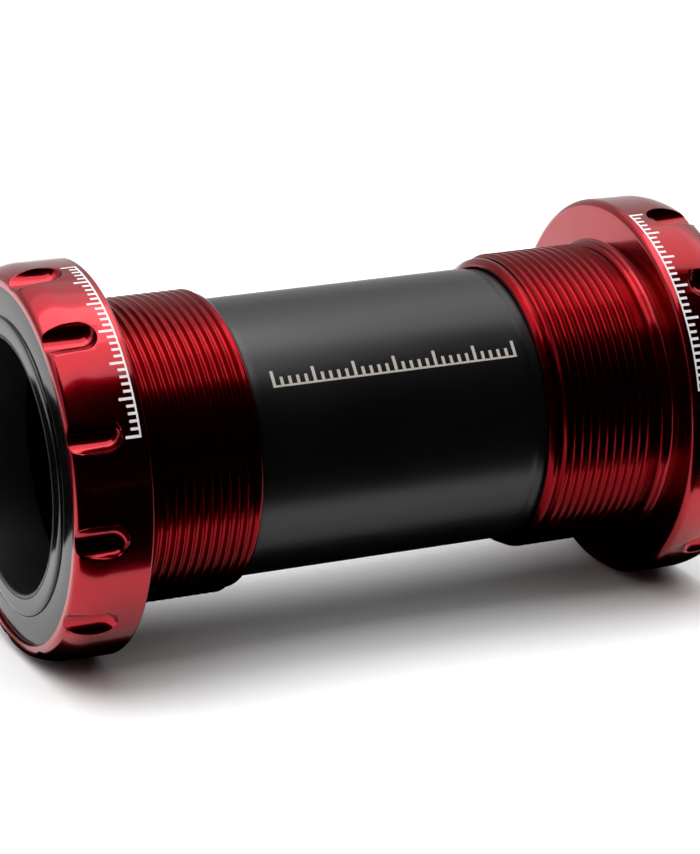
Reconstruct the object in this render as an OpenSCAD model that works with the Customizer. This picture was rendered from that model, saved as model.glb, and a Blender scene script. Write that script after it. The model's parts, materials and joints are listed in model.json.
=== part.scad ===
// Threaded external-cup bottom bracket: two screw-in cups, each carrying a sealed ball bearing
// under a dust shield, joined by a centre sleeve on two O-rings.
// The bracket's axis is X, the origin is midway between the two shell faces, and +Z is up.
// Every part of one side is drawn about +Z with z = 0 on the frame shell's face, z > 0 outboard,
// and on_side() then lays it along the X axis.

/* [Frame shell] */
// Distance between the two cup shoulders, which a frame shell fills
shell_w = 66; // [65:0.5:72]
// Thread diameter over the crests
thread_d = 34.8; // [34.6:0.05:34.9]
// Thread pitch, 24 threads to the inch
thread_pitch = 1.0583; // [1:0.0001:1.1]
// Depth of a thread from crest to root
thread_depth = 0.65; // [0.5:0.05:0.7]

/* [Cups] */
// Diameter of the flange that the tool grips
flange_d = 45; // [44.6:0.1:46]
// Width of the flange, from the shell's face to the front lip
flange_w = 8.7; // [8.5:0.05:9.1]
// Distance that the left cup reaches into the shell
left_insert = 15.3; // [15.1:0.1:16.3]
// Distance that the right cup reaches into the shell
right_insert = 15.3; // [15.1:0.1:16.3]
// Length of the plain collar behind the left flange
left_collar = 1; // [0.8:0.1:1.4]
// Length of the plain collar behind the right flange
right_collar = 1.3; // [0.8:0.1:1.6]
// Length of the plain thread relief on the left cup
left_relief = 0.4; // [0.3:0.1:0.6]
// Length of the plain thread relief on the right cup
right_relief = 1.3; // [0.3:0.05:1.7]
// Number of tool notches round each flange
notch_count = 12; // [8:1:12]
// Turn of the left flange's first notch from the top
left_notch_turn = 23.5; // [0:0.5:30]
// Turn of the right flange's first notch from the bottom
right_notch_turn = 14; // [0:0.5:30]

/* [Bearings] */
// Diameter of the spindle that runs through both bearings
spindle_d = 29; // [28.99:0.01:29.03]
// Bore of the inner race
race_bore_d = 30; // [29.9:0.1:30.1]
// Outside diameter of the outer race
race_outer_d = 40; // [39.9:0.1:40.1]
// Width of both races
race_w = 6.5; // [6.4:0.1:6.5]
// Diameter of a bearing ball
ball_d = 3.175; // [3.1:0.025:3.2]
// Number of balls in each bearing
ball_count = 20; // [16:1:20]

/* [Sleeve] */
// Outside diameter of the sleeve between the cups
sleeve_d = 32; // [31.9:0.1:32.2]
// Bore of the sleeve
sleeve_bore_d = 29.4; // [29.2:0.1:29.5]
// Gap between the sleeve's shoulder and the right cup's nose
sleeve_gap = 1.2; // [1.1:0.1:2]
// Length of each spigot inside its cup
spigot_l = 8; // [7.8:0.1:8.2]
// Thickness of an O-ring's cord
o_ring_d = 0.84; // [0.7:0.02:0.84]

/* [Hidden] */
$fn = 96;
arc_steps = 6;
LEFT = -1;
RIGHT = 1;

// Thread form: each turn is drawn as a closed ring with flat crests and roots.
crest_r = thread_d / 2;
root_r = crest_r - thread_depth;
crest_half = 0.13;
base_half = 0.47;

// Flange: a crowned front, a plain band and a rounded back edge.
flange_r = flange_d / 2;
crown_r = 7;
crown_start_z = 5;
front_chamfer = 0.1;
back_edge_r = 0.9;
lip_bore_r = 20.35;
shield_step_z = 8;

// Collar and nose of the threaded stem.
collar_r = 17.55;
collar_fillet = 0.4;
collar_edge_r = 0.6;
nose_l = 1.4;
nose_root_r = 17;
nose_tip_r = 16.45;
nose_edge = 0.15;
spigot_bore_r = 15.95;
spigot_bore_l = 9.8;
web_bore_r = 15.3;
web_front_z = 1.1;

// Tool notches, cut by a ball-ended cutter run in along the axis from the front.
cutter_r = 2.05;
cutter_pitch_r = 23.1;
notch_end_z = 2.8;
cutter_over_l = 2;

// Bearing: both races have the same groove and stand on the cup's seat.
seat_z = 1.5;
seat_r = race_outer_d / 2;
ball_pitch_r = (race_bore_d + race_outer_d) / 4;
race_mid_z = seat_z + race_w / 2;
inner_race_r = 16.6;
outer_race_r = 18.4;
groove_r = ball_d / 2 + 0.0325;
race_edge = 0.25;
seal_pocket_r = 18.8;
seal_pocket_l = 0.8;
seal_lip_r = inner_race_r + 0.05;
seal_t = 0.4;
seal_inset = 0.15;
cage_half_t = 0.6;
cage_w = 4.4;
pocket_r = ball_d / 2 + 0.09;

// Dust shield: a disc with a raised collar, and a bush that lines the inner race.
shield_r = 20.28;
shield_back_z = 8.12;
shield_front_z = 8.53;
collar_foot_r = 17.27;
collar_top_r = 17.02;
collar_top_z = 8.87;
mouth_r = 0.2;
spindle_r = spindle_d / 2;
race_bore_r = race_bore_d / 2;

// Sleeve: a plain middle and two spigots with an O-ring groove in each.
half_shell = shell_w / 2;
left_nose_x = -half_shell + left_insert;
right_nose_x = half_shell - right_insert;
sleeve_left_x = left_nose_x + 0.05;
sleeve_right_x = right_nose_x - sleeve_gap;
sleeve_r = sleeve_d / 2;
sleeve_bore_r = sleeve_bore_d / 2;
spigot_r = 15.8;
sleeve_edge = 0.2;
spigot_edge = 0.3;
ring_groove_w = 1.2;
ring_groove_r = 15.08;
ring_mid_r = 15.52;
ring_inset = 1.9;

function arc(x, y, r, from, to) = [
    for (i = [0:arc_steps])
        let (a = from + (to - from) * i / arc_steps)
        [x + r * cos(a), y + r * sin(a)]
];

function thread_ring(z) = [
    [root_r, z + base_half],
    [crest_r, z + crest_half],
    [crest_r, z - crest_half],
    [root_r, z - base_half]
];

function first_crest(collar_l, relief_l) = collar_l + relief_l + base_half;

function crest_count(insert_l, first) = floor((insert_l - nose_l - base_half - first) / thread_pitch) + 1;

function cup_profile(insert_l, collar_l, relief_l) =
    let (
        crown_x = flange_r - crown_r,
        crown_turn = asin((flange_w - front_chamfer - crown_start_z) / crown_r),
        first = first_crest(collar_l, relief_l),
        turns = crest_count(insert_l, first)
    )
    concat(
        [[lip_bore_r, flange_w], [crown_x + crown_r * cos(crown_turn) - front_chamfer, flange_w]],
        arc(crown_x, crown_start_z, crown_r, crown_turn, 0),
        arc(flange_r - back_edge_r, back_edge_r, back_edge_r, 0, -90),
        arc(collar_r + collar_fillet, -collar_fillet, collar_fillet, 90, 180),
        arc(collar_r - collar_edge_r, collar_edge_r - collar_l, collar_edge_r, 0, -90),
        [[root_r, -collar_l]],
        [for (i = [0:turns - 1]) each thread_ring(-first - i * thread_pitch)],
        [
            [root_r, nose_l - insert_l + nose_edge],
            [nose_root_r, nose_l - insert_l],
            [nose_tip_r, nose_edge - insert_l],
            [nose_tip_r - nose_edge, -insert_l],
            [spigot_bore_r + nose_edge, -insert_l],
            [spigot_bore_r, nose_edge - insert_l],
            [spigot_bore_r, spigot_bore_l - insert_l],
            [web_bore_r, spigot_bore_l - insert_l],
            [web_bore_r, web_front_z],
            [outer_race_r, web_front_z],
            [outer_race_r, seat_z],
            [seat_r, seat_z],
            [seat_r, shield_step_z],
            [lip_bore_r, shield_step_z]
        ]
    );

// Lays a side's parts along X: +Z becomes the outboard direction, at the shell's face.
module on_side(side) {
    translate([side * half_shell, 0, 0])
        rotate([0, side * 90, 0])
            children();
}

module notch_cutter() {
    ball_z = notch_end_z + cutter_r;
    rotate_extrude($fn = 48)
        polygon(concat(
            arc(0, ball_z, cutter_r, -90, 0),
            [[cutter_r, flange_w + cutter_over_l], [0, flange_w + cutter_over_l]]
        ));
}

module cup(insert_l, collar_l, relief_l, first_notch) {
    difference() {
        rotate_extrude()
            polygon(cup_profile(insert_l, collar_l, relief_l));
        for (i = [0:notch_count - 1])
            rotate([0, 0, first_notch + i * 360 / notch_count])
                translate([cutter_pitch_r, 0, 0])
                    notch_cutter();
    }
}

module outer_race() {
    top = seat_z + race_w;
    difference() {
        rotate_extrude()
            polygon([
                [outer_race_r, seat_z + seal_pocket_l],
                [seal_pocket_r, seat_z + seal_pocket_l],
                [seal_pocket_r, seat_z],
                [seat_r - race_edge, seat_z],
                [seat_r, seat_z + race_edge],
                [seat_r, top - race_edge],
                [seat_r - race_edge, top],
                [seal_pocket_r, top],
                [seal_pocket_r, top - seal_pocket_l],
                [outer_race_r, top - seal_pocket_l]
            ]);
        ball_groove();
    }
}

module inner_race() {
    top = seat_z + race_w;
    difference() {
        rotate_extrude()
            polygon([
                [race_bore_r, seat_z + race_edge],
                [race_bore_r + race_edge, seat_z],
                [inner_race_r, seat_z],
                [inner_race_r, top],
                [race_bore_r + race_edge, top],
                [race_bore_r, top - race_edge]
            ]);
        ball_groove();
    }
}

module ball_groove() {
    rotate_extrude()
        translate([ball_pitch_r, race_mid_z])
            circle(r = groove_r, $fn = 48);
}

module ball_set() {
    for (i = [0:ball_count - 1])
        rotate([0, 0, i * 360 / ball_count])
            translate([ball_pitch_r, 0, race_mid_z])
                sphere(r = ball_d / 2, $fn = 48);
}

module ball_cage() {
    difference() {
        translate([0, 0, race_mid_z - cage_w / 2])
            difference() {
                cylinder(r = ball_pitch_r + cage_half_t, h = cage_w);
                translate([0, 0, -1])
                    cylinder(r = ball_pitch_r - cage_half_t, h = cage_w + 2);
            }
        for (i = [0:ball_count - 1])
            rotate([0, 0, i * 360 / ball_count])
                translate([0, 0, race_mid_z])
                    rotate([0, 90, 0])
                        cylinder(r = pocket_r, h = race_outer_d / 2, $fn = 48);
    }
}

// A flat rubber seal whose back lies seal_back above the seat.
module bearing_seal(seal_back) {
    translate([0, 0, seat_z + seal_back])
        difference() {
            cylinder(r = seal_pocket_r, h = seal_t);
            translate([0, 0, -1])
                cylinder(r = seal_lip_r, h = seal_t + 2);
        }
}

module inboard_seal() {
    bearing_seal(seal_inset);
}

module outboard_seal() {
    bearing_seal(race_w - seal_inset - seal_t);
}

// The disc that covers the bearing, with the raised collar round its mouth.
module dust_shield() {
    rotate_extrude()
        polygon([
            [race_bore_r, shield_back_z],
            [shield_r - front_chamfer, shield_back_z],
            [shield_r, shield_back_z + front_chamfer],
            [shield_r, shield_front_z - front_chamfer],
            [shield_r - front_chamfer, shield_front_z],
            [collar_foot_r, shield_front_z],
            [collar_top_r, collar_top_z],
            [race_bore_r, collar_top_z]
        ]);
}

// The bush between the inner race and the spindle, with a rounded mouth. The shield sits on its end.
module spindle_bush() {
    rotate_extrude()
        polygon(concat(
            [
                [spindle_r, seat_z],
                [race_bore_r, seat_z],
                [race_bore_r, collar_top_z]
            ],
            arc(spindle_r + mouth_r, collar_top_z - mouth_r, mouth_r, 90, 180)
        ));
}

module o_ring() {
    rotate_extrude()
        translate([ring_mid_r, 0])
            circle(r = o_ring_d / 2, $fn = 32);
}

// Distance of an O-ring's middle from the sleeve's end, and the groove on either side of it.
function ring_groove(end_x, inward) =
    let (mid = end_x + inward * ring_inset, half = ring_groove_w / 2)
    [
        [spigot_r, mid - half],
        [ring_groove_r, mid - half],
        [ring_groove_r, mid + half],
        [spigot_r, mid + half]
    ];

module centre_sleeve_body() {
    left_end = sleeve_left_x - spigot_l;
    right_end = sleeve_right_x + sleeve_gap + spigot_l;
    rotate([0, 90, 0])
        rotate_extrude()
            polygon(concat(
                [[sleeve_bore_r, left_end], [spigot_r - spigot_edge, left_end]],
                [[spigot_r, left_end + spigot_edge]],
                ring_groove(left_end, 1),
                [
                    [spigot_r, sleeve_left_x],
                    [sleeve_r - sleeve_edge, sleeve_left_x],
                    [sleeve_r, sleeve_left_x + sleeve_edge],
                    [sleeve_r, sleeve_right_x - sleeve_edge],
                    [sleeve_r - sleeve_edge, sleeve_right_x],
                    [spigot_r, sleeve_right_x]
                ],
                ring_groove(right_end, -1),
                [[spigot_r, right_end - spigot_edge]],
                [[spigot_r - spigot_edge, right_end], [sleeve_bore_r, right_end]]
            ));
}

module o_ring_at(x) {
    translate([x, 0, 0])
        rotate([0, 90, 0])
            o_ring();
}

module cup_left() {
    color("crimson") on_side(LEFT) cup(left_insert, left_collar, left_relief, left_notch_turn);
}

module cup_right() {
    color("crimson") on_side(RIGHT) cup(right_insert, right_collar, right_relief, right_notch_turn);
}

module outer_race_left() {
    color("silver") on_side(LEFT) outer_race();
}

module outer_race_right() {
    color("silver") on_side(RIGHT) outer_race();
}

module inner_race_left() {
    color("silver") on_side(LEFT) inner_race();
}

module inner_race_right() {
    color("silver") on_side(RIGHT) inner_race();
}

module ball_set_left() {
    color("gainsboro") on_side(LEFT) ball_set();
}

module ball_set_right() {
    color("gainsboro") on_side(RIGHT) ball_set();
}

module ball_cage_left() {
    color("goldenrod") on_side(LEFT) ball_cage();
}

module ball_cage_right() {
    color("goldenrod") on_side(RIGHT) ball_cage();
}

module inboard_seal_left() {
    color("dimgray") on_side(LEFT) inboard_seal();
}

module inboard_seal_right() {
    color("dimgray") on_side(RIGHT) inboard_seal();
}

module outboard_seal_left() {
    color("dimgray") on_side(LEFT) outboard_seal();
}

module outboard_seal_right() {
    color("dimgray") on_side(RIGHT) outboard_seal();
}

module dust_shield_left() {
    color("black") on_side(LEFT) dust_shield();
}

module dust_shield_right() {
    color("black") on_side(RIGHT) dust_shield();
}

module spindle_bush_left() {
    color("black") on_side(LEFT) spindle_bush();
}

module spindle_bush_right() {
    color("black") on_side(RIGHT) spindle_bush();
}

module centre_sleeve() {
    color("darkslategray") centre_sleeve_body();
}

module o_ring_left() {
    color("black") o_ring_at(sleeve_left_x - spigot_l + ring_inset);
}

module o_ring_right() {
    color("black") o_ring_at(right_nose_x + spigot_l - ring_inset);
}

cup_left();
outer_race_left();
inner_race_left();
ball_set_left();
ball_cage_left();
inboard_seal_left();
outboard_seal_left();
dust_shield_left();
spindle_bush_left();
cup_right();
outer_race_right();
inner_race_right();
ball_set_right();
ball_cage_right();
inboard_seal_right();
outboard_seal_right();
dust_shield_right();
spindle_bush_right();
centre_sleeve();
o_ring_left();
o_ring_right();
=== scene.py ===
import json
from math import acos, asin, ceil, cos, degrees, hypot, pi, radians, sin, sqrt

import bpy
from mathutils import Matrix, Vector


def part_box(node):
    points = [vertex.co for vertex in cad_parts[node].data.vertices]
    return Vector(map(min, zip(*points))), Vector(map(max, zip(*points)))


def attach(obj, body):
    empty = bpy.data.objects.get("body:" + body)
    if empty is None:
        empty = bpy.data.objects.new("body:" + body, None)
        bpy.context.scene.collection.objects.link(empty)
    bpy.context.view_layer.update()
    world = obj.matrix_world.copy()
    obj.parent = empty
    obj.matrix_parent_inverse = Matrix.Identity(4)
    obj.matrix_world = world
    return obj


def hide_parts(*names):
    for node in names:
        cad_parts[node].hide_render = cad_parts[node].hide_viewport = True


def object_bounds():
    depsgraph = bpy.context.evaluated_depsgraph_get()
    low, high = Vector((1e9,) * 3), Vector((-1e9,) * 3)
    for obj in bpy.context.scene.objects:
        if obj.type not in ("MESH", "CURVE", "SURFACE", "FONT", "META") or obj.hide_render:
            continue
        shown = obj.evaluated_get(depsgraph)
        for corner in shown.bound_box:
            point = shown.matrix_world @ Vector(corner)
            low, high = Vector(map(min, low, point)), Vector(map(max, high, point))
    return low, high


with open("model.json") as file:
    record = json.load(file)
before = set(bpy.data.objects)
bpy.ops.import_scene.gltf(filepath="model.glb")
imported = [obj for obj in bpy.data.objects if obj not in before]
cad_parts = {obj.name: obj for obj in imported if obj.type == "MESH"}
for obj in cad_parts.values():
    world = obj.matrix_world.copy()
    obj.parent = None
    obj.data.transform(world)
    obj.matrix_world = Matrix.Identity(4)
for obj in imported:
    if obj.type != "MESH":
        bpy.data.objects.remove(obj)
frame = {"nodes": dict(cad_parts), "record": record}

cad_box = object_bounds()
bpy.ops.object.select_all(action="DESELECT")

# ---------------------------------------------------------------- sizes, in metres

MM = 0.001
mounts = {mount["name"]: mount for mount in frame["record"]["mounts"]}
LEFT = -1
RIGHT = 1

# Each side is measured outboard from the shell's face: s > 0 is outside the frame shell.
HALF_SHELL = mounts["right_shoulder"]["pos_m"][0]
THREAD_R = mounts["left_thread"]["dims"]["r_mm"] * MM
SPINDLE_R = mounts["left_spindle_bore"]["dims"]["r_mm"] * MM
FLANGE_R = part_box("cup_left")[1].z
FLANGE_W = -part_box("cup_left")[0].x - HALF_SHELL
LEFT_INSERT = HALF_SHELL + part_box("cup_left")[1].x
RIGHT_INSERT = HALF_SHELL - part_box("cup_right")[0].x
SEAT_S = -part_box("outer_race_left")[1].x - HALF_SHELL
SEAT_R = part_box("outer_race_left")[1].z
RACE_BORE_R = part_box("spindle_bush_left")[1].z
MOUTH_S = -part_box("spindle_bush_left")[0].x - HALF_SHELL
SHIELD_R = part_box("dust_shield_left")[1].z
SHIELD_BACK_S = -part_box("dust_shield_left")[1].x - HALF_SHELL
SLEEVE_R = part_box("centre_sleeve")[1].z
SLEEVE_ENDS = (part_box("centre_sleeve")[0].x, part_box("centre_sleeve")[1].x)

# Thread of 24 turns to the inch, cut between the nose and the relief beside the flange's collar.
PITCH = 25.4 * MM / 24
CREST_HALF = 0.07 * MM
CREST_EDGE = 0.03 * MM
ROOT_ARC_R = 0.28 * MM
RELIEF_R = THREAD_R - 0.65 * MM
NOSE_L = 1.35 * MM

# Tool notches: a ball-ended cutter run in from the front, every 30 degrees.
NOTCHES = 12
CUTTER_R = 2.05 * MM
CUTTER_PITCH_R = 23.1 * MM
CUTTER_CENTRE_S = 4.85 * MM
LEFT_FIRST_NOTCH = radians(23.5)
RIGHT_FIRST_NOTCH = radians(16)

# Segments round the axis, the angle past which an edge stays sharp, and how near points are merged.
SEGMENTS = 240
CUTTER_SEGMENTS = 40
SHARP = radians(28)
MERGE = 0.001 * MM


# ---------------------------------------------------------------- outlines, as (s, radius)

def arc(s, r, radius, start, end, steps=8):
    """Points on an arc about (s, r), from one angle to another, in degrees from outboard towards +r."""
    turns = [radians(start + (end - start) * i / steps) for i in range(steps + 1)]
    return [(s + radius * cos(t), r + radius * sin(t)) for t in turns]


def cup_outline(insert, collar, back_edge, thread_end):
    """The cup without its thread: from the relief over the flange, back through the bore and round the nose."""
    collar_r = 17.55 * MM
    collar_edge = 0.62 * MM
    collar_start = 0.12 * MM
    fillet = 0.4 * MM
    crown = 7 * MM
    crown_s = 5 * MM
    band_rows = (1.6 * MM, 0.8 * MM)
    front_edge = MM
    edge_s = FLANGE_W - front_edge
    crown_turn = degrees(asin((edge_s - crown_s) / (crown - front_edge)))
    edge_r = FLANGE_R - crown + (crown - front_edge) * cos(radians(crown_turn))
    lip_bore = 20.36 * MM
    lip_edge = 0.08 * MM
    step_s = 8 * MM
    web_bore = 15.3 * MM
    race_clear_r = 18.4 * MM
    race_clear = 0.4 * MM
    spigot_bore = 15.95 * MM
    spigot_end = 9.8 * MM - insert
    spigot_edge = 0.1 * MM
    tip = 0.15 * MM
    tip_r = spigot_bore + 0.35 * MM
    land_s = 0.75 * MM - insert
    land_r = 17 * MM
    land_arc = 0.6 * MM
    land_l = 0.38 * MM
    outline = [(-thread_end, RELIEF_R), (-collar - collar_start, RELIEF_R)]
    outline += arc(-collar + collar_edge, collar_r - collar_edge, collar_edge, 180, 90)
    outline += arc(-fillet, collar_r + fillet, fillet, 270, 360, 6)
    outline += arc(back_edge, FLANGE_R - back_edge, back_edge, 180, 90, 12)
    outline += [(crown_s - row, FLANGE_R) for row in band_rows]
    outline += arc(crown_s, FLANGE_R - crown, crown, 90, 90 - crown_turn, 12)
    outline += arc(edge_s, edge_r, front_edge, 90 - crown_turn, 0, 8)[1:]
    outline += [(FLANGE_W, lip_bore + lip_edge), (FLANGE_W - lip_edge, lip_bore)]
    outline += [(step_s, lip_bore), (step_s, SEAT_R), (SEAT_S, SEAT_R)]
    outline += [(SEAT_S, race_clear_r), (SEAT_S - race_clear, race_clear_r), (SEAT_S - race_clear, web_bore)]
    outline += [(spigot_end, web_bore), (spigot_end, spigot_bore)]
    outline += [(spigot_edge - insert, spigot_bore), (-insert, spigot_bore + spigot_edge)]
    outline += arc(tip - insert, tip_r, tip, 180, 125, 4)
    outline += arc(land_s, land_r - land_arc, land_arc, 125, 55)
    outline += [(land_s + land_l, RELIEF_R), (NOSE_L - insert, RELIEF_R)]
    return outline


def shield_outline():
    """The disc over the bearing, coned a little, with the raised collar round the spindle's mouth."""
    edge = 0.1 * MM
    rim_s = MOUTH_S - 0.5 * MM
    foot_s = MOUTH_S - 0.3 * MM
    foot_r = 17.25 * MM
    wall_r = 17.1 * MM
    wall_edge = 0.28 * MM
    wall_draft = 0.04 * MM
    top_w = 0.9 * MM
    mouth_edge = 0.06 * MM
    face_steps = 6
    outline = [(SHIELD_BACK_S, RACE_BORE_R), (SHIELD_BACK_S, SHIELD_R - edge)]
    outline += [(SHIELD_BACK_S + edge, SHIELD_R)]
    outline += arc(rim_s - edge, SHIELD_R - edge, edge, 90, 10, 4)
    for step in range(1, face_steps + 1):
        share = step / face_steps
        r = SHIELD_R - edge + (foot_r - SHIELD_R + edge) * share
        outline.append((rim_s + (foot_s - rim_s) * sin(share * pi / 2), r))
    outline += arc(MOUTH_S - wall_edge, wall_r - wall_edge - wall_draft, wall_edge, 90, 20, 6)
    outline += [(MOUTH_S, wall_r - top_w), (MOUTH_S, RACE_BORE_R + mouth_edge)]
    return outline + [(MOUTH_S - mouth_edge, RACE_BORE_R)]


def bush_outline():
    """The thin liner between the inner race and the spindle, with a rounded mouth."""
    mouth = 0.2 * MM
    edge = 0.05 * MM
    return (
        [(SEAT_S, SPINDLE_R + edge), (SEAT_S, RACE_BORE_R - edge), (SEAT_S + edge, RACE_BORE_R)]
        + [(MOUTH_S - 2 * edge, RACE_BORE_R), (MOUTH_S, RACE_BORE_R - 2 * edge)]
        + arc(MOUTH_S - mouth, SPINDLE_R + mouth, mouth, 0, -90, 6)
        + [(SEAT_S + edge, SPINDLE_R)]
    )


def sleeve_outline(left_shoulder, right_shoulder):
    """The sleeve as (x, radius): a plain middle and a spigot with an O-ring groove at each end."""
    bore = 14.7 * MM
    bore_edge = 0.1 * MM
    spigot = 15.8 * MM
    end_edge = 0.3 * MM
    ease = 4 * MM
    ease_l = MM
    ease_turn = degrees(asin(ease_l / ease))
    groove_r = 15.08 * MM
    groove_half = 0.6 * MM
    ring_in = 1.9 * MM
    low, high = SLEEVE_ENDS
    outline = [(low, bore + bore_edge), (low, spigot - end_edge), (low + end_edge, spigot)]
    for middle in (low + ring_in, high - ring_in):
        if middle > 0:
            outline += arc(left_shoulder + ease_l, SLEEVE_R - ease, ease, 90 + ease_turn, 90, 5)
            outline += arc(right_shoulder - ease_l, SLEEVE_R - ease, ease, 90, 90 - ease_turn, 5)
            outline += [(right_shoulder, spigot)]
        outline += [(middle - groove_half, spigot), (middle - groove_half, groove_r)]
        outline += [(middle + groove_half, groove_r), (middle + groove_half, spigot)]
        if middle < 0:
            outline += [(left_shoulder, spigot)]
    outline += [(high - end_edge, spigot), (high, spigot - end_edge)]
    return outline + [(high, bore + bore_edge), (high - bore_edge, bore), (low + bore_edge, bore)]


def on_side(side, outline):
    """Turns (s, radius) points into (x, radius) points on the left or the right."""
    return [(side * (HALF_SHELL + s), r) for s, r in outline]


# ---------------------------------------------------------------- modelling

def draw_line(name, points):
    """A mesh line through (x, radius) points, drawn by extruding one vertex. It is left in edit mode."""
    bpy.ops.object.select_all(action="DESELECT")
    x, r = points[0]
    bpy.ops.mesh.primitive_plane_add(size=MM, location=(x, 0, r))
    obj = bpy.context.object
    obj.name = name
    bpy.ops.object.transform_apply(location=True, rotation=True, scale=True)
    bpy.ops.object.mode_set(mode="EDIT")
    bpy.ops.mesh.select_mode(type="VERT")
    bpy.ops.mesh.select_all(action="SELECT")
    bpy.ops.mesh.merge(type="CENTER")
    for next_x, next_r in points[1:]:
        step = (next_x - x, 0, next_r - r)
        bpy.ops.mesh.extrude_vertices_move(TRANSFORM_OT_translate={"value": step})
        x, r = next_x, next_r
    return obj


def spin_round(steps, centre=(0, 0, 0)):
    """Spins the line being edited once round the X direction through centre, and closes the seam."""
    bpy.ops.mesh.select_all(action="SELECT")
    bpy.ops.mesh.spin(steps=steps, angle=2 * pi, center=centre, axis=(1, 0, 0))
    bpy.ops.mesh.select_all(action="SELECT")
    bpy.ops.mesh.remove_doubles(threshold=MERGE)


def close_outline():
    """Joins the last point of the line being edited to its first."""
    bpy.ops.mesh.select_all(action="SELECT")
    bpy.ops.object.mode_set(mode="OBJECT")
    mesh = bpy.context.object.data
    uses = [0] * len(mesh.vertices)
    for edge in mesh.edges:
        for v in edge.vertices:
            uses[v] += 1
    for edge in mesh.edges:
        edge.select = False
    for vertex in mesh.vertices:
        vertex.select = uses[vertex.index] == 1
    bpy.ops.object.mode_set(mode="EDIT")
    bpy.ops.mesh.select_mode(type="VERT")
    bpy.ops.mesh.edge_face_add()


def face_outwards():
    """Turns the faces being edited outwards."""
    bpy.ops.mesh.select_all(action="SELECT")
    bpy.ops.mesh.normals_make_consistent(inside=False)


def turned(name, outline):
    """A closed turned part from (x, radius) points."""
    obj = draw_line(name, outline)
    close_outline()
    spin_round(SEGMENTS)
    face_outwards()
    bpy.ops.object.mode_set(mode="OBJECT")
    bpy.ops.object.shade_smooth_by_angle(angle=SHARP)
    return obj


def thread_outline(crest, high):
    """Thread teeth from one crest up to high along x: narrow flat crests, 60-degree flanks and round roots."""
    flank_start = CREST_HALF + CREST_EDGE
    root_centre_r = THREAD_R - CREST_EDGE + 2 * ROOT_ARC_R - sqrt(3) * (PITCH / 2 - flank_start)
    points = []
    while crest < high:
        points += [(crest - flank_start, THREAD_R - CREST_EDGE), (crest - CREST_HALF, THREAD_R)]
        points += [(crest + CREST_HALF, THREAD_R), (crest + flank_start, THREAD_R - CREST_EDGE)]
        points += arc(crest + PITCH / 2, root_centre_r, ROOT_ARC_R, 210, 330)
        crest += PITCH
    return points


def apply_modifier(obj, modifier):
    """Applies a modifier to its object."""
    bpy.context.view_layer.objects.active = obj
    bpy.ops.object.modifier_apply(modifier=modifier.name)


def screw_thread(side, low, high, top_crest):
    """The threaded band from x = low to high: right-hand on the left cup, left-hand on the right one.

    top_crest is the x of any crest on top of the cup."""
    first = top_crest - ceil((top_crest - low) / PITCH + 2) * PITCH
    obj = draw_line("thread", thread_outline(first, high + 2 * PITCH))
    bpy.ops.object.mode_set(mode="OBJECT")
    turns = obj.modifiers.new("turns", "SCREW")
    turns.axis = "X"
    turns.screw_offset = -side * PITCH
    turns.steps = SEGMENTS
    turns.render_steps = SEGMENTS
    apply_modifier(obj, turns)
    bpy.ops.object.mode_set(mode="EDIT")
    bpy.ops.mesh.select_all(action="SELECT")
    bpy.ops.mesh.remove_doubles(threshold=MERGE)
    bpy.ops.mesh.select_all(action="SELECT")
    near = 0.0001 * MM
    bpy.ops.mesh.bisect(plane_co=(low, 0, 0), plane_no=(1, 0, 0), clear_inner=True, threshold=near)
    bpy.ops.mesh.select_all(action="SELECT")
    bpy.ops.mesh.bisect(plane_co=(high, 0, 0), plane_no=(1, 0, 0), clear_outer=True, threshold=near)
    bpy.ops.object.mode_set(mode="OBJECT")
    return obj


def fill_at(obj, x):
    """Closes the flat ring between the two open loops that lie in the plane at x."""
    bpy.ops.object.mode_set(mode="EDIT")
    bpy.ops.mesh.select_mode(type="EDGE")
    bpy.ops.mesh.select_all(action="DESELECT")
    bpy.ops.mesh.select_non_manifold(
        extend=False, use_wire=False, use_multi_face=False, use_non_contiguous=False
    )
    bpy.ops.object.mode_set(mode="OBJECT")
    vertices = obj.data.vertices
    near = 0.005 * MM
    for edge in obj.data.edges:
        if edge.select and any(abs(vertices[v].co.x - x) > near for v in edge.vertices):
            edge.select = False
    bpy.ops.object.mode_set(mode="EDIT")
    bpy.ops.mesh.fill(use_beauty=True)


def join(objects):
    """Makes one object of several, under the first one's name."""
    bpy.ops.object.select_all(action="DESELECT")
    for obj in objects:
        obj.select_set(True)
    bpy.context.view_layer.objects.active = objects[0]
    bpy.ops.object.join()


def notch_cutters(side, first_notch):
    """The paths of a ball-ended cutter, run in from the front once for each notch, as one mesh."""
    over = 2 * MM
    outline = arc(CUTTER_CENTRE_S, 0, CUTTER_R, 180, 90, 10)
    outline += [(FLANGE_W + over, CUTTER_R), (FLANGE_W + over, 0)]
    cutters = []
    for i in range(NOTCHES):
        turn = first_notch + i * 2 * pi / NOTCHES
        y = -CUTTER_PITCH_R * cos(turn)
        z = CUTTER_PITCH_R * sin(turn)
        points = [(x, z + r) for x, r in on_side(side, outline)]
        cutter = draw_line("cutter", points)
        bpy.ops.mesh.select_all(action="SELECT")
        bpy.ops.transform.translate(value=(0, y, 0))
        spin_round(CUTTER_SEGMENTS, centre=(0, y, z))
        face_outwards()
        bpy.ops.object.mode_set(mode="OBJECT")
        cutters.append(cutter)
    join(cutters)
    return cutters[0]


def cut(obj, cutter):
    """Takes the cutter's shape out of the object, and the cutter away."""
    bpy.context.view_layer.objects.active = obj
    modifier = obj.modifiers.new("cut", "BOOLEAN")
    modifier.operation = "DIFFERENCE"
    modifier.solver = "MANIFOLD"
    modifier.object = cutter
    apply_modifier(obj, modifier)
    bpy.data.objects.remove(cutter)


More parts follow.
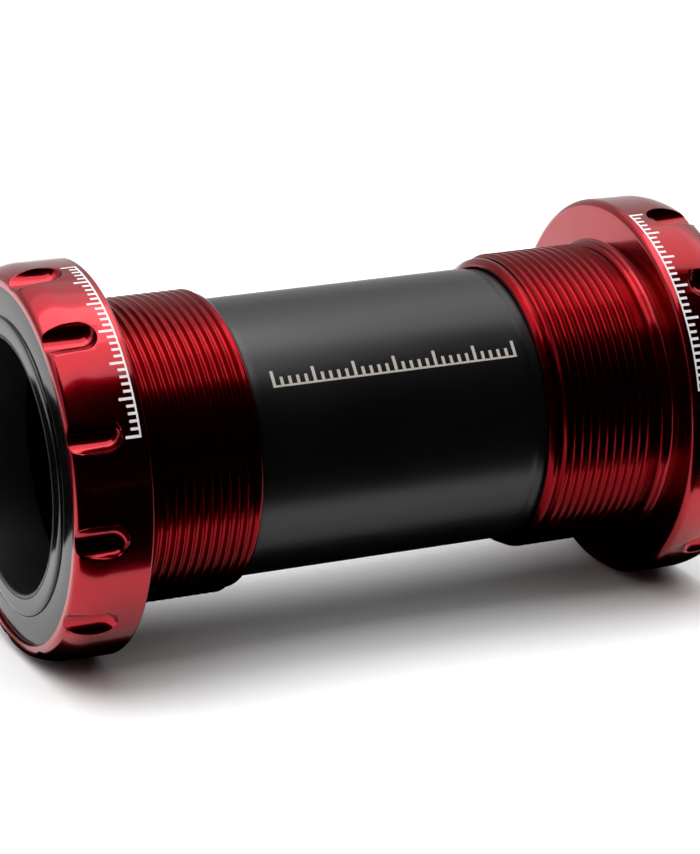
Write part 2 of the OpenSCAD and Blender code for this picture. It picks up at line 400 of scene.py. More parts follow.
def cutter_distance(point, side, first_notch):
    """How far a point is from the nearest notch's surface."""
    s = side * point.x - HALF_SHELL
    step = 2 * pi / NOTCHES
    turn = acos(max(-1, min(1, -point.y / hypot(point.y, point.z))))
    turn = turn if point.z > 0 else -turn
    nearest = first_notch + round((turn - first_notch) / step) * step
    y = -CUTTER_PITCH_R * cos(nearest)
    z = CUTTER_PITCH_R * sin(nearest)
    behind = min(0, s - CUTTER_CENTRE_S)
    return abs(hypot(point.y - y, point.z - z, behind) - CUTTER_R)


def ease_notch_edges(obj, side, first_notch):
    """Breaks the sharp edges that the cutter leaves on the flange."""
    bpy.context.view_layer.objects.active = obj
    bpy.ops.object.mode_set(mode="EDIT")
    bpy.ops.mesh.select_mode(type="EDGE")
    bpy.ops.mesh.select_all(action="DESELECT")
    bpy.ops.mesh.edges_select_sharp(sharpness=radians(20))
    bpy.ops.object.mode_set(mode="OBJECT")
    points = [v.co for v in obj.data.vertices]
    near = 0.01 * MM
    broken = 0.1 * MM
    for edge in obj.data.edges:
        if edge.select:
            ends = [points[v] for v in edge.vertices]
            on_flange = min(hypot(p.y, p.z) for p in ends) > THREAD_R
            on_flange = on_flange and min(side * p.x for p in ends) > HALF_SHELL + MM
            edge.select = on_flange and all(cutter_distance(p, side, first_notch) < near for p in ends)
    bpy.ops.object.mode_set(mode="EDIT")
    bpy.ops.mesh.bevel(offset=broken, segments=2, affect="EDGES", clamp_overlap=False)
    bpy.ops.object.mode_set(mode="OBJECT")


def make_cup(name, side, insert, collar, back_edge, thread_end, top_crest, first_notch):
    """A cup with its thread and tool notches. top_crest is how far a crest on top lies inboard of the face."""
    shell = draw_line(name, on_side(side, cup_outline(insert, collar, back_edge, thread_end)))
    spin_round(SEGMENTS)
    bpy.ops.object.mode_set(mode="OBJECT")
    low, high = sorted([side * (HALF_SHELL - thread_end), side * (HALF_SHELL - insert + NOSE_L)])
    thread = screw_thread(side, low, high, side * (HALF_SHELL - top_crest))
    join([shell, thread])
    for x in (low, high):
        fill_at(shell, x)
    face_outwards()
    bpy.ops.object.mode_set(mode="OBJECT")
    cut(shell, notch_cutters(side, first_notch))
    ease_notch_edges(shell, side, first_notch)
    bpy.ops.object.select_all(action="DESELECT")
    shell.select_set(True)
    bpy.context.view_layer.objects.active = shell
    bpy.ops.object.shade_smooth_by_angle(angle=SHARP)
    return shell


# ---------------------------------------------------------------- materials

def new_material(name):
    """A node material with nothing in it yet."""
    material = bpy.data.materials.new(name)
    material.use_nodes = True
    material.node_tree.nodes.clear()
    return material


def frame_nodes(material, label, members):
    """Groups the nodes of one effect in a labelled frame."""
    group = material.node_tree.nodes.new("NodeFrame")
    group.label = label
    for node in members:
        node.parent = group


def lathe_place(material):
    """Adds a point's place as a turner sees it: x along the axis, radius, and turn up from the front."""
    nodes = material.node_tree.nodes
    links = material.node_tree.links
    coords = nodes.new("ShaderNodeTexCoord")
    coords.label = "Piece's own coordinates"
    coords.location = (-2200, 0)
    split = nodes.new("ShaderNodeSeparateXYZ")
    split.label = "Along and across the axis"
    split.location = (-2000, 0)
    y_squared = nodes.new("ShaderNodeMath")
    y_squared.label = "y squared"
    y_squared.location = (-1800, 160)
    radius_squared = nodes.new("ShaderNodeMath")
    radius_squared.label = "Radius squared"
    radius_squared.location = (-1620, 80)
    radius = nodes.new("ShaderNodeMath")
    radius.label = "Radius"
    radius.location = (-1440, 80)
    forward = nodes.new("ShaderNodeMath")
    forward.label = "Towards the front"
    forward.location = (-1800, -160)
    turn = nodes.new("ShaderNodeMath")
    turn.label = "Turn up from the front"
    turn.location = (-1620, -160)
    y_squared.operation = "MULTIPLY"
    radius_squared.operation = "MULTIPLY_ADD"
    radius.operation = "SQRT"
    forward.operation = "MULTIPLY"
    forward.inputs[1].default_value = -1
    turn.operation = "ARCTAN2"
    links.new(coords.outputs["Object"], split.inputs["Vector"])
    links.new(split.outputs["Y"], y_squared.inputs[0])
    links.new(split.outputs["Y"], y_squared.inputs[1])
    links.new(split.outputs["Z"], radius_squared.inputs[0])
    links.new(split.outputs["Z"], radius_squared.inputs[1])
    links.new(y_squared.outputs["Value"], radius_squared.inputs[2])
    links.new(radius_squared.outputs["Value"], radius.inputs[0])
    links.new(split.outputs["Y"], forward.inputs[0])
    links.new(split.outputs["Z"], turn.inputs[0])
    links.new(forward.outputs["Value"], turn.inputs[1])
    members = (coords, split, y_squared, radius_squared, radius, forward, turn)
    frame_nodes(material, "Place on the lathe", members)
    return coords.outputs["Object"], split.outputs["X"], radius.outputs["Value"], turn.outputs["Value"]


def graduated_scale(material, along, across, start, end, steps, low, short, tall):
    """Adds a plain printed scale: a base line with ticks on it, every fifth one tall. Gives 1 on the ink.

    along and across are sockets. The scale runs along from start to end, with its base line at across = low."""
    half_tick = 0.19
    half_line = 0.06 * abs(tall)
    nodes = material.node_tree.nodes
    links = material.node_tree.links
    step_count = nodes.new("ShaderNodeMath")
    step_count.label = "Steps along the scale"
    step_count.location = (-1200, -500)
    in_step = nodes.new("ShaderNodeMath")
    in_step.label = "Place in the step"
    in_step.location = (-1000, -420)
    on_tick = nodes.new("ShaderNodeMath")
    on_tick.label = "Tick's width"
    on_tick.location = (-800, -420)
    whole_step = nodes.new("ShaderNodeMath")
    whole_step.label = "Whole steps"
    whole_step.location = (-1000, -600)
    in_five = nodes.new("ShaderNodeMath")
    in_five.label = "Place in the five"
    in_five.location = (-800, -600)
    fifth = nodes.new("ShaderNodeMath")
    fifth.label = "Every fifth tick"
    fifth.location = (-600, -600)
    height = nodes.new("ShaderNodeMath")
    height.label = "Height above the base line"
    height.location = (-1200, -780)
    tick_height = nodes.new("ShaderNodeMath")
    tick_height.label = "Height of this tick"
    tick_height.location = (-400, -600)
    below_top = nodes.new("ShaderNodeMath")
    below_top.label = "Below the tick's top"
    below_top.location = (-220, -700)
    above_base = nodes.new("ShaderNodeMath")
    above_base.label = "Above the base"
    above_base.location = (-1000, -860)
    base_line = nodes.new("ShaderNodeMath")
    base_line.label = "Base line"
    base_line.location = (-1000, -1020)
    tick_in_height = nodes.new("ShaderNodeMath")
    tick_in_height.label = "Tick up to its top"
    tick_in_height.location = (-40, -560)
    tick = nodes.new("ShaderNodeMath")
    tick.label = "Tick from its base"
    tick.location = (140, -620)
    tick_or_line = nodes.new("ShaderNodeMath")
    tick_or_line.label = "Ticks and base line"
    tick_or_line.location = (320, -700)
    in_scale = nodes.new("ShaderNodeMath")
    in_scale.label = "Between the ends"
    in_scale.location = (-1000, -240)
    ink = nodes.new("ShaderNodeMath")
    ink.label = "Ink"
    ink.location = (500, -620)

    step_count.operation = "MULTIPLY_ADD"
    step_count.inputs[1].default_value = steps / (end - start)
    step_count.inputs[2].default_value = 0.5 - start * steps / (end - start)
    in_step.operation = "FRACT"
    on_tick.operation = "COMPARE"
    on_tick.inputs[1].default_value = 0.5
    on_tick.inputs[2].default_value = half_tick
    whole_step.operation = "FLOOR"
    in_five.operation = "FLOORED_MODULO"
    in_five.inputs[1].default_value = 5
    fifth.operation = "COMPARE"
    fifth.inputs[1].default_value = 0
    fifth.inputs[2].default_value = 0.1
    height.operation = "MULTIPLY_ADD"
    height.inputs[1].default_value = 1 if tall > 0 else -1
    height.inputs[2].default_value = -low if tall > 0 else low
    tick_height.operation = "MULTIPLY_ADD"
    tick_height.inputs[1].default_value = abs(tall) - short
    tick_height.inputs[2].default_value = short
    below_top.operation = "LESS_THAN"
    above_base.operation = "GREATER_THAN"
    above_base.inputs[1].default_value = 0
    base_line.operation = "COMPARE"
    base_line.inputs[1].default_value = half_line
    base_line.inputs[2].default_value = half_line
    tick_in_height.operation = "MULTIPLY"
    tick.operation = "MULTIPLY"
    tick_or_line.operation = "MAXIMUM"
    in_scale.operation = "COMPARE"
    in_scale.inputs[1].default_value = steps / 2 + 0.5
    in_scale.inputs[2].default_value = steps / 2 + half_tick
    ink.operation = "MULTIPLY"

    links.new(along, step_count.inputs[0])
    links.new(step_count.outputs["Value"], in_step.inputs[0])
    links.new(in_step.outputs["Value"], on_tick.inputs[0])
    links.new(step_count.outputs["Value"], whole_step.inputs[0])
    links.new(whole_step.outputs["Value"], in_five.inputs[0])
    links.new(in_five.outputs["Value"], fifth.inputs[0])
    links.new(fifth.outputs["Value"], tick_height.inputs[0])
    links.new(across, height.inputs[0])
    links.new(height.outputs["Value"], below_top.inputs[0])
    links.new(tick_height.outputs["Value"], below_top.inputs[1])
    links.new(height.outputs["Value"], above_base.inputs[0])
    links.new(height.outputs["Value"], base_line.inputs[0])
    links.new(on_tick.outputs["Value"], tick_in_height.inputs[0])
    links.new(below_top.outputs["Value"], tick_in_height.inputs[1])
    links.new(tick_in_height.outputs["Value"], tick.inputs[0])
    links.new(above_base.outputs["Value"], tick.inputs[1])
    links.new(tick.outputs["Value"], tick_or_line.inputs[0])
    links.new(base_line.outputs["Value"], tick_or_line.inputs[1])
    links.new(step_count.outputs["Value"], in_scale.inputs[0])
    links.new(tick_or_line.outputs["Value"], ink.inputs[0])
    links.new(in_scale.outputs["Value"], ink.inputs[1])
    members = (step_count, in_step, on_tick, whole_step, in_five, fifth, height, tick_height, below_top)
    members += (above_base, base_line, tick_in_height, tick, tick_or_line, in_scale, ink)
    frame_nodes(material, "Printed scale", members)
    return ink.outputs["Value"]


MARK_STEPS = 30
MARK_SHORT = 1.1 * MM


def red_anodised(name, mark_start, mark_end, mark_low_x, mark_tall):
    """Turned aluminium under a clear red anodised skin, with a white scale printed round the flange."""
    material = new_material(name)
    nodes = material.node_tree.nodes
    links = material.node_tree.links
    place, x, radius, turn = lathe_place(material)
    ends = (mark_start, mark_end)
    ink = graduated_scale(material, turn, x, *ends, MARK_STEPS, mark_low_x, MARK_SHORT, mark_tall)

    # Fine rings that the lathe tool left under the skin.
    ring_place = nodes.new("ShaderNodeCombineXYZ")
    ring_place.label = "Same all the way round"
    ring_place.location = (-1200, 700)
    rings = nodes.new("ShaderNodeTexNoise")
    rings.label = "Turning marks"
    rings.location = (-1000, 700)
    ring_bump = nodes.new("ShaderNodeBump")
    ring_bump.label = "Turning marks' height"
    ring_bump.location = (700, 500)
    rings.inputs["Scale"].default_value = 9000
    rings.inputs["Detail"].default_value = 2
    ring_bump.inputs["Strength"].default_value = 0.25
    ring_bump.inputs["Distance"].default_value = 0.0015 * MM
    links.new(x, ring_place.inputs["X"])
    links.new(radius, ring_place.inputs["Y"])
    links.new(ring_place.outputs["Vector"], rings.inputs["Vector"])
    links.new(rings.outputs["Fac"], ring_bump.inputs["Height"])
    frame_nodes(material, "Turning marks", (ring_place, rings, ring_bump))

    # The dye took a little deeper in some places than in others.
    clouds = nodes.new("ShaderNodeTexNoise")
    clouds.label = "Uneven dye"
    clouds.location = (-1000, 400)
    dye = nodes.new("ShaderNodeMix")
    dye.label = "Dye colour"
    dye.location = (-760, 400)
    smear = nodes.new("ShaderNodeTexNoise")
    smear.label = "Handling haze"
    smear.location = (-1000, 150)
    gloss = nodes.new("ShaderNodeMapRange")
    gloss.label = "Roughness of the metal"
    gloss.location = (-760, 150)
    clouds.inputs["Scale"].default_value = 90
    clouds.inputs["Detail"].default_value = 3
    dye.data_type = "RGBA"
    dye.inputs["A"].default_value = (0.3, 0.001, 0.007, 1)
    dye.inputs["B"].default_value = (0.37, 0.0015, 0.011, 1)
    smear.inputs["Scale"].default_value = 260
    smear.inputs["Detail"].default_value = 4
    gloss.inputs["To Min"].default_value = 0.17
    gloss.inputs["To Max"].default_value = 0.25
    links.new(place, clouds.inputs["Vector"])
    links.new(clouds.outputs["Fac"], dye.inputs["Factor"])
    links.new(place, smear.inputs["Vector"])
    links.new(smear.outputs["Fac"], gloss.inputs["Value"])
    frame_nodes(material, "Dyed skin", (clouds, dye, smear, gloss))

    # The skin is deeper and less glossy in the thread, out to the crests.
    crest = nodes.new("ShaderNodeMapRange")
    crest.label = "Clear of the thread"
    crest.location = (-760, -120)
    deep = nodes.new("ShaderNodeMix")
    deep.label = "Deeper dye in the thread"
    deep.location = (-500, 400)
    clear = nodes.new("ShaderNodeMapRange")
    clear.label = "Clear skin's weight"
    clear.location = (-500, -120)
    crest.inputs["From Min"].default_value = 17.42 * MM
    crest.inputs["From Max"].default_value = 17.7 * MM
    deep.data_type = "RGBA"
    deep.inputs["A"].default_value = (0.21, 0.0005, 0.004, 1)
    clear.inputs["To Min"].default_value = 0.12
    clear.inputs["To Max"].default_value = 0.6
    links.new(radius, crest.inputs["Value"])
    links.new(crest.outputs["Result"], deep.inputs["Factor"])
    links.new(dye.outputs["Result"], deep.inputs["B"])
    links.new(crest.outputs["Result"], clear.inputs["Value"])
    frame_nodes(material, "Skin in the thread", (crest, deep, clear))

    # White ink on top.
    colour = nodes.new("ShaderNodeMix")
    colour.label = "Ink over the dye"
    colour.location = (760, 200)
    metal = nodes.new("ShaderNodeMath")
    metal.label = "No metal under the ink"
    metal.location = (760, -60)
    roughness = nodes.new("ShaderNodeMix")
    roughness.label = "Ink's roughness"
    roughness.location = (760, -260)
    colour.data_type = "RGBA"
    colour.inputs["B"].default_value = (0.62, 0.62, 0.62, 1)
    metal.operation = "SUBTRACT"
    metal.inputs[0].default_value = 1
    roughness.data_type = "FLOAT"
    roughness.inputs["B"].default_value = 0.55
    links.new(ink, colour.inputs["Factor"])
    links.new(deep.outputs["Result"], colour.inputs["A"])
    links.new(ink, metal.inputs[1])
    links.new(ink, roughness.inputs["Factor"])
    links.new(gloss.outputs["Result"], roughness.inputs["A"])
    frame_nodes(material, "White ink", (colour, metal, roughness))

    shader = nodes.new("ShaderNodeBsdfPrincipled")
    shader.label = "Anodised aluminium"
    shader.location = (1060, 200)
    output = nodes.new("ShaderNodeOutputMaterial")
    output.label = "Cup surface"
    output.location = (1360, 200)
    shader.inputs["Coat Roughness"].default_value = 0.08
    shader.inputs["Coat IOR"].default_value = 1.5
    links.new(clear.outputs["Result"], shader.inputs["Coat Weight"])
    links.new(colour.outputs["Result"], shader.inputs["Base Color"])
    links.new(metal.outputs["Value"], shader.inputs["Metallic"])
    links.new(roughness.outputs["Result"], shader.inputs["Roughness"])
    links.new(ring_bump.outputs["Normal"], shader.inputs["Normal"])
    links.new(shader.outputs["BSDF"], output.inputs["Surface"])
    return material


def blasted_black(name):
    """Bead-blasted aluminium, anodised black, with a champagne-grey scale printed along it."""
    material = new_material(name)
    nodes = material.node_tree.nodes
    links = material.node_tree.links
    place, x, _, turn = lathe_place(material)
    half_scale = 14.9 * MM
    base, short, tall = radians(35.6), radians(4.3), radians(7.2)
    ink = graduated_scale(material, x, turn, -half_scale, half_scale, MARK_STEPS, base, short, tall)

    grains = nodes.new("ShaderNodeTexNoise")
    grains.label = "Bead-blasted grain"
    grains.location = (-1200, 700)
    coarse = nodes.new("ShaderNodeTexNoise")
    coarse.label = "Coarser dimples"
    coarse.location = (-1200, 460)
    surface = nodes.new("ShaderNodeMix")
    surface.label = "Both grains"
    surface.location = (-960, 600)
    grain_bump = nodes.new("ShaderNodeBump")
    grain_bump.label = "Grain's height"
    grain_bump.location = (700, 600)
    grains.inputs["Scale"].default_value = 9000
    grains.inputs["Detail"].default_value = 3
    coarse.inputs["Scale"].default_value = 3200
    coarse.inputs["Detail"].default_value = 2
    surface.data_type = "FLOAT"
    surface.inputs["Factor"].default_value = 0.5
    grain_bump.inputs["Strength"].default_value = 0.5
    grain_bump.inputs["Distance"].default_value = 0.012 * MM
    links.new(place, grains.inputs["Vector"])
    links.new(place, coarse.inputs["Vector"])
    links.new(grains.outputs["Fac"], surface.inputs["A"])
    links.new(coarse.outputs["Fac"], surface.inputs["B"])
    links.new(surface.outputs["Result"], grain_bump.inputs["Height"])
    frame_nodes(material, "Blasted surface", (grains, coarse, surface, grain_bump))

    clouds = nodes.new("ShaderNodeTexNoise")
    clouds.label = "Uneven black"
    clouds.location = (-1200, 220)
    black = nodes.new("ShaderNodeMix")
    black.label = "Anodised black"
    black.location = (-960, 260)
    gloss = nodes.new("ShaderNodeMapRange")
    gloss.label = "Roughness of the black"
    gloss.location = (-960, 60)
    clouds.inputs["Scale"].default_value = 120
    clouds.inputs["Detail"].default_value = 4
    black.data_type = "RGBA"
    black.inputs["A"].default_value = (0.0008, 0.0008, 0.0009, 1)
    black.inputs["B"].default_value = (0.002, 0.002, 0.0023, 1)
    gloss.inputs["To Min"].default_value = 0.27
    gloss.inputs["To Max"].default_value = 0.34
    links.new(place, clouds.inputs["Vector"])
    links.new(clouds.outputs["Fac"], black.inputs["Factor"])
    links.new(clouds.outputs["Fac"], gloss.inputs["Value"])
    frame_nodes(material, "Black skin", (clouds, black, gloss))

    colour = nodes.new("ShaderNodeMix")
    colour.label = "Ink over the black"
    colour.location = (760, 200)
    colour.data_type = "RGBA"
    colour.inputs["B"].default_value = (0.36, 0.33, 0.29, 1)
    shader = nodes.new("ShaderNodeBsdfPrincipled")
    shader.label = "Satin black"
    shader.location = (1060, 200)
    output = nodes.new("ShaderNodeOutputMaterial")
    output.label = "Sleeve surface"
    output.location = (1360, 200)
    links.new(ink, colour.inputs["Factor"])
    links.new(black.outputs["Result"], colour.inputs["A"])
    links.new(colour.outputs["Result"], shader.inputs["Base Color"])
    links.new(gloss.outputs["Result"], shader.inputs["Roughness"])
    links.new(grain_bump.outputs["Normal"], shader.inputs["Normal"])
    links.new(shader.outputs["BSDF"], output.inputs["Surface"])
    return material


def turned_steel(name, dark, light, low_roughness, high_roughness, mark_depth):
    """Ground or polished bearing steel with fine rings round the axis."""
    material = new_material(name)
    nodes = material.node_tree.nodes
    links = material.node_tree.links
    place, x, radius, _ = lathe_place(material)
    ring_place = nodes.new("ShaderNodeCombineXYZ")
    ring_place.label = "Same all the way round"
    ring_place.location = (-1200, 300)
    rings = nodes.new("ShaderNodeTexNoise")
    rings.label = "Grinding marks"
    rings.location = (-1000, 300)
    bump = nodes.new("ShaderNodeBump")
    bump.label = "Grinding marks' height"
    bump.location = (-600, 100)
    clouds = nodes.new("ShaderNodeTexNoise")
    clouds.label = "Oil film"
    clouds.location = (-1000, 0)
    colour = nodes.new("ShaderNodeMix")
    colour.label = "Steel colour"
    colour.location = (-600, 400)
    gloss = nodes.new("ShaderNodeMapRange")
    gloss.label = "Steel's roughness"
    gloss.location = (-600, -100)
    shader = nodes.new("ShaderNodeBsdfPrincipled")
    shader.label = "Steel"
    shader.location = (-200, 200)
    output = nodes.new("ShaderNodeOutputMaterial")
    output.label = "Steel surface"
    output.location = (100, 200)
    rings.inputs["Scale"].default_value = 12000
    rings.inputs["Detail"].default_value = 2
    bump.inputs["Strength"].default_value = 0.4
    bump.inputs["Distance"].default_value = mark_depth
    clouds.inputs["Scale"].default_value = 300
    clouds.inputs["Detail"].default_value = 4
    colour.data_type = "RGBA"
    colour.inputs["A"].default_value = (*dark, 1)
    colour.inputs["B"].default_value = (*light, 1)
    gloss.inputs["To Min"].default_value = low_roughness
    gloss.inputs["To Max"].default_value = high_roughness
    shader.inputs["Metallic"].default_value = 1
    links.new(x, ring_place.inputs["X"])
    links.new(radius, ring_place.inputs["Y"])
    links.new(ring_place.outputs["Vector"], rings.inputs["Vector"])
    links.new(rings.outputs["Fac"], bump.inputs["Height"])
    links.new(place, clouds.inputs["Vector"])
    links.new(clouds.outputs["Fac"], colour.inputs["Factor"])
    links.new(clouds.outputs["Fac"], gloss.inputs["Value"])
    links.new(colour.outputs["Result"], shader.inputs["Base Color"])
    links.new(gloss.outputs["Result"], shader.inputs["Roughness"])
    links.new(bump.outputs["Normal"], shader.inputs["Normal"])
    links.new(shader.outputs["BSDF"], output.inputs["Surface"])
    frame_nodes(material, "Grinding marks", (ring_place, rings, bump))
    frame_nodes(material, "Steel under its oil film", (clouds, colour, gloss))
    return material


def moulded(name, dark, light, low_roughness, high_roughness, grain_size, grain_depth, specular=0.5):
    """Moulded plastic or rubber: faint colour clouds, a fine grain and an uneven gloss."""
    material = new_material(name)
    nodes = material.node_tree.nodes
    links = material.node_tree.links
    coords = nodes.new("ShaderNodeTexCoord")
    coords.label = "Piece's own coordinates"
    coords.location = (-1200, 100)
    clouds = nodes.new("ShaderNodeTexNoise")
    clouds.label = "Clouds in the plastic"
    clouds.location = (-960, 300)
    colour = nodes.new("ShaderNodeMix")
    colour.label = "Plastic colour"
    colour.location = (-700, 380)
    gloss = nodes.new("ShaderNodeMapRange")
    gloss.label = "Plastic's roughness"
    gloss.location = (-700, 120)
    grain = nodes.new("ShaderNodeTexNoise")
    grain.label = "Mould's grain"
    grain.location = (-960, -100)
    bump = nodes.new("ShaderNodeBump")
    bump.label = "Grain's height"
    bump.location = (-700, -140)
    shader = nodes.new("ShaderNodeBsdfPrincipled")
    shader.label = "Plastic"
    shader.location = (-300, 200)
    output = nodes.new("ShaderNodeOutputMaterial")
    output.label = "Moulded surface"
    output.location = (0, 200)
    clouds.inputs["Scale"].default_value = 200
    clouds.inputs["Detail"].default_value = 4
    colour.data_type = "RGBA"
    colour.inputs["A"].default_value = (*dark, 1)
    colour.inputs["B"].default_value = (*light, 1)
    gloss.inputs["To Min"].default_value = low_roughness
    gloss.inputs["To Max"].default_value = high_roughness
    grain.inputs["Scale"].default_value = 1 / grain_size
    grain.inputs["Detail"].default_value = 3
    bump.inputs["Strength"].default_value = 0.4
    bump.inputs["Distance"].default_value = grain_depth
    shader.inputs["Specular IOR Level"].default_value = specular
    links.new(coords.outputs["Object"], clouds.inputs["Vector"])
    links.new(coords.outputs["Object"], grain.inputs["Vector"])
    links.new(clouds.outputs["Fac"], colour.inputs["Factor"])
    links.new(clouds.outputs["Fac"], gloss.inputs["Value"])
    links.new(grain.outputs["Fac"], bump.inputs["Height"])
    links.new(colour.outputs["Result"], shader.inputs["Base Color"])
    links.new(gloss.outputs["Result"], shader.inputs["Roughness"])
    links.new(bump.outputs["Normal"], shader.inputs["Normal"])
    links.new(shader.outputs["BSDF"], output.inputs["Surface"])
    frame_nodes(material, "Colour and gloss", (clouds, colour, gloss))
    frame_nodes(material, "Surface grain", (grain, bump))
    return material


def pale_glow(name):
    """The pale studio wall, a little darker towards its top."""
    material = new_material(name)
    nodes = material.node_tree.nodes
    links = material.node_tree.links
    coords = nodes.new("ShaderNodeTexCoord")
    coords.label = "Wall's own coordinates"
    coords.location = (-800, 0)
    split = nodes.new("ShaderNodeSeparateXYZ")
    split.label = "Height"
    split.location = (-600, 0)
    fade = nodes.new("ShaderNodeMapRange")
    fade.label = "Fade upwards"
    fade.location = (-400, 0)
    glow = nodes.new("ShaderNodeEmission")
    glow.label = "Even glow"
    glow.location = (-200, 0)
    output = nodes.new("ShaderNodeOutputMaterial")
    output.label = "Wall surface"
    output.location = (0, 0)
    fade.inputs["From Max"].default_value = 3
    fade.inputs["To Min"].default_value = 0.92
    fade.inputs["To Max"].default_value = 0.8
    links.new(coords.outputs["Object"], split.inputs["Vector"])
    links.new(split.outputs["Z"], fade.inputs["Value"])
    links.new(fade.outputs["Result"], glow.inputs["Strength"])
    links.new(glow.outputs["Emission"], output.inputs["Surface"])
    return material


# The flanges' scales stand on a line just outboard of the shell's faces, and their ticks point outboard.
MARK_X = HALF_SHELL + 0.8 * MM
MARK_TALL = 1.8 * MM
red_left = red_anodised("red_anodised_left", radians(22), radians(86), LEFT * MARK_X, LEFT * MARK_TALL)
red_right = red_anodised("red_anodised_right", radians(14), radians(78), RIGHT * MARK_X, RIGHT * MARK_TALL)
black_sleeve = blasted_black("black_anodised_sleeve")
gloss_black = moulded(
    "gloss_black", (0.001, 0.001, 0.001), (0.003, 0.003, 0.003), 0.06, 0.12, 0.3 * MM, 0.0006 * MM
)
satin_black = moulded(
    "satin_black", (0.004, 0.004, 0.004), (0.008, 0.008, 0.008), 0.3, 0.42, 0.12 * MM, 0.004 * MM
)
seal_rubber = moulded(
    "seal_rubber", (0.012, 0.012, 0.012), (0.022, 0.021, 0.02), 0.5, 0.65, 0.15 * MM, 0.01 * MM
)
cage_polymer = moulded(
    "cage_polymer", (0.5, 0.36, 0.2), (0.6, 0.45, 0.27), 0.35, 0.5, 0.1 * MM, 0.006 * MM
)
race_steel = turned_steel("race_steel", (0.5, 0.5, 0.51), (0.62, 0.62, 0.63), 0.18, 0.3, 0.002 * MM)
ball_steel = turned_steel("ball_steel", (0.66, 0.66, 0.67), (0.74, 0.74, 0.75), 0.05, 0.09, 0.0002 * MM)
studio_white = moulded(
    "studio_white", (0.88, 0.88, 0.88), (0.9, 0.9, 0.9), 0.6, 0.7, 0.5 * MM, 0.01 * MM, 0.2
)
# Black for the cards that paint shade into the reflections of the floor.
painted_shade_black = moulded("painted_shade_black", (0.001,) * 3, (0.002,) * 3, 0.8, 0.9, MM, 0.01 * MM, 0)


# ---------------------------------------------------------------- camera

TARGET = Vector((0.08, 0, -0.84)) * MM
CAMERA_TURN = radians(-24.39)
CAMERA_RISE = radians(17.26)
CAMERA_DISTANCE = 416.41 * MM
back = Vector((
    sin(CAMERA_TURN) * cos(CAMERA_RISE),
    -cos(CAMERA_TURN) * cos(CAMERA_RISE),
    sin(CAMERA_RISE),
))
bpy.ops.object.camera_add(location=TARGET + CAMERA_DISTANCE * back)
camera = bpy.context.object
camera.rotation_euler = back.to_track_quat("Z", "Y").to_euler()
camera.data.lens = 150.99
camera.data.sensor_fit = "VERTICAL"
camera.data.sensor_height = 36
camera.data.clip_start = 0.01
bpy.context.scene.camera = camera


# ---------------------------------------------------------------- studio

FLOOR_Z = cad_box[0][2]
FLOOR_HALF = 3
CARD_LIFT = 0.5 * MM
ROOM_TOP = 2.5
WALL_R = 2.9


def soft_light(name, location, target, width, height, radiance):
    """A rectangular softbox of an even brightness, facing target."""
    bpy.ops.object.light_add(type="AREA", location=location)
    light = bpy.context.object
    light.name = name
    light.data.shape = "RECTANGLE"
    light.data.size = width
    light.data.size_y = height
    light.data.energy = radiance * pi * width * height
    light.rotation_euler = (Vector(location) - Vector(target)).to_track_quat("Z", "Y").to_euler()
    light.visible_camera = False
    return light


def stage_sheet(name, low_x, high_x, low_y, high_y, z, material):
    """A flat sheet of the studio, facing up."""
    bpy.ops.object.select_all(action="DESELECT")
    bpy.ops.mesh.primitive_plane_add(size=1, location=((low_x + high_x) / 2, (low_y + high_y) / 2, z))
    sheet = bpy.context.object
    sheet.name = name
    sheet.scale = (high_x - low_x, high_y - low_y, 1)
    bpy.ops.object.transform_apply(location=True, rotation=True, scale=True)
    sheet.data.materials.append(material)
    return sheet


def painted_shade_card(name, low_x, high_x, low_y, high_y):
    """A black card just above the floor that only reflections see: it paints shade into the reflections, where
    they would show the lit floor.
    """
    card = stage_sheet(name, low_x, high_x, low_y, high_y, FLOOR_Z + CARD_LIFT, painted_shade_black)
    card.visible_camera = False
    card.visible_shadow = False
    card.visible_diffuse = False
    card.visible_transmission = False


stage_sheet("floor", -FLOOR_HALF, FLOOR_HALF, -FLOOR_HALF, FLOOR_HALF, FLOOR_Z, studio_white)

# The cards paint shade into the floor's reflections, and leave a pale strip in front of the bracket, a patch
# beside its left end and the floor far behind.
painted_shade_card("dark_card_front", -2, 2, -2, -0.033)
painted_shade_card("dark_card_under", -0.043, 2, -0.013, 0.03)
painted_shade_card("dark_card_back", -0.065, 2, 0.03, 0.138)
painted_shade_card("dark_card_back_left", -2, -0.065, 0.03, 0.103)

# The overhead softboxes add to one another, so they fade towards the back. The key hangs low on the left.
soft_light("overhead_wide", (0.2, 0.62, 0.7), (0.2, 0.62, 0), 3, 1.36, 0.6)
soft_light("overhead_mid", (0.2, 0.345, 0.69), (0.2, 0.345, 0), 2.6, 0.81, 0.45)
soft_light("overhead_near", (0.2, 0.195, 0.68), (0.2, 0.195, 0), 2.4, 0.51, 0.65)
soft_light("key", (-0.0725, -0.035, 0.3), (-0.0725, -0.035, 0), 0.355, 0.27, 2.3)
soft_light("back_wall", (0.2, 1.3, 0.34), (0.2, 0, 0.34), 3, 0.72, 0.6)
soft_light("left_wall", (-1.3, 0.6, 0.34), (0, 0.6, 0.34), 1.4, 0.72, 0.6)

# The room's own light only brightens the floor, and its pale wall only shows behind the bracket.
room = soft_light("room", (0, 0, ROOM_TOP), (0, 0, 0), 2 * FLOOR_HALF, 2 * FLOOR_HALF, 1)
room.visible_glossy = False
bpy.ops.object.select_all(action="DESELECT")
bpy.ops.mesh.primitive_uv_sphere_add(segments=64, ring_count=32, radius=WALL_R)
wall = bpy.context.object
wall.name = "pale_wall"
bpy.ops.object.shade_smooth()
wall.data.materials.append(pale_glow("pale_wall"))
wall.visible_diffuse = False
wall.visible_glossy = False
wall.visible_transmission = False
wall.visible_shadow = False

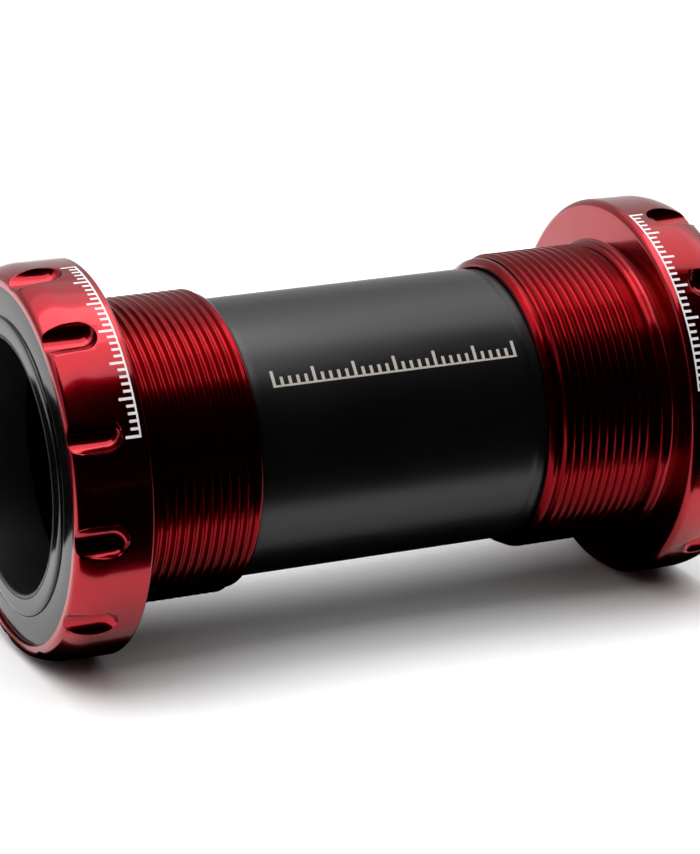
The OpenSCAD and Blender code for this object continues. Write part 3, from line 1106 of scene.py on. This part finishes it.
world = bpy.data.worlds.new("studio")
world.use_nodes = True
world.node_tree.nodes["Background"].inputs["Color"].default_value = (0.002, 0.002, 0.002, 1)
bpy.context.scene.world = world
bpy.context.scene.view_settings.view_transform = "Standard"


# ---------------------------------------------------------------- pieces

def put(piece, body, node, material):
    """Gives a new piece its finish, ties it to its CAD body and hides the CAD node that it takes the place of.
    """
    piece.data.materials.clear()
    piece.data.materials.append(material)
    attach(piece, body)
    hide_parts(node)


# Insert, collar, back edge, thread's end and the crest on top, in the order that make_cup takes them.
left_sizes = (LEFT_INSERT, MM, 0.35 * MM, 1.35 * MM, 2.23 * MM)
right_sizes = (RIGHT_INSERT, 1.3 * MM, 0.9 * MM, 2.35 * MM, 2.65 * MM)
cup_left = make_cup("cup_left_turned", LEFT, *left_sizes, LEFT_FIRST_NOTCH)
cup_right = make_cup("cup_right_turned", RIGHT, *right_sizes, RIGHT_FIRST_NOTCH)
put(cup_left, "left_cup", "cup_left", red_left)
put(cup_right, "right_cup", "cup_right", red_right)

sleeve_shoulders = (LEFT_INSERT - HALF_SHELL + 0.05 * MM, HALF_SHELL - RIGHT_INSERT - 1.2 * MM)
sleeve = turned("sleeve_turned", sleeve_outline(*sleeve_shoulders))
put(sleeve, "sleeve", "centre_sleeve", black_sleeve)

for side, word in ((LEFT, "left"), (RIGHT, "right")):
    shield = turned(f"dust_shield_{word}_turned", on_side(side, shield_outline()))
    put(shield, f"{word}_rotor", f"dust_shield_{word}", gloss_black)
    bush = turned(f"spindle_bush_{word}_turned", on_side(side, bush_outline()))
    put(bush, f"{word}_rotor", f"spindle_bush_{word}", satin_black)

# The bearings' other pieces keep their CAD shape.
for node, finish in {
    "outer_race": race_steel,
    "inner_race": race_steel,
    "ball_set": ball_steel,
    "ball_cage": cage_polymer,
    "inboard_seal": seal_rubber,
    "outboard_seal": seal_rubber,
    "o_ring": seal_rubber,
}.items():
    for word in ("left", "right"):
        mesh = frame["nodes"][f"{node}_{word}"].data
        mesh.materials.clear()
        mesh.materials.append(finish)
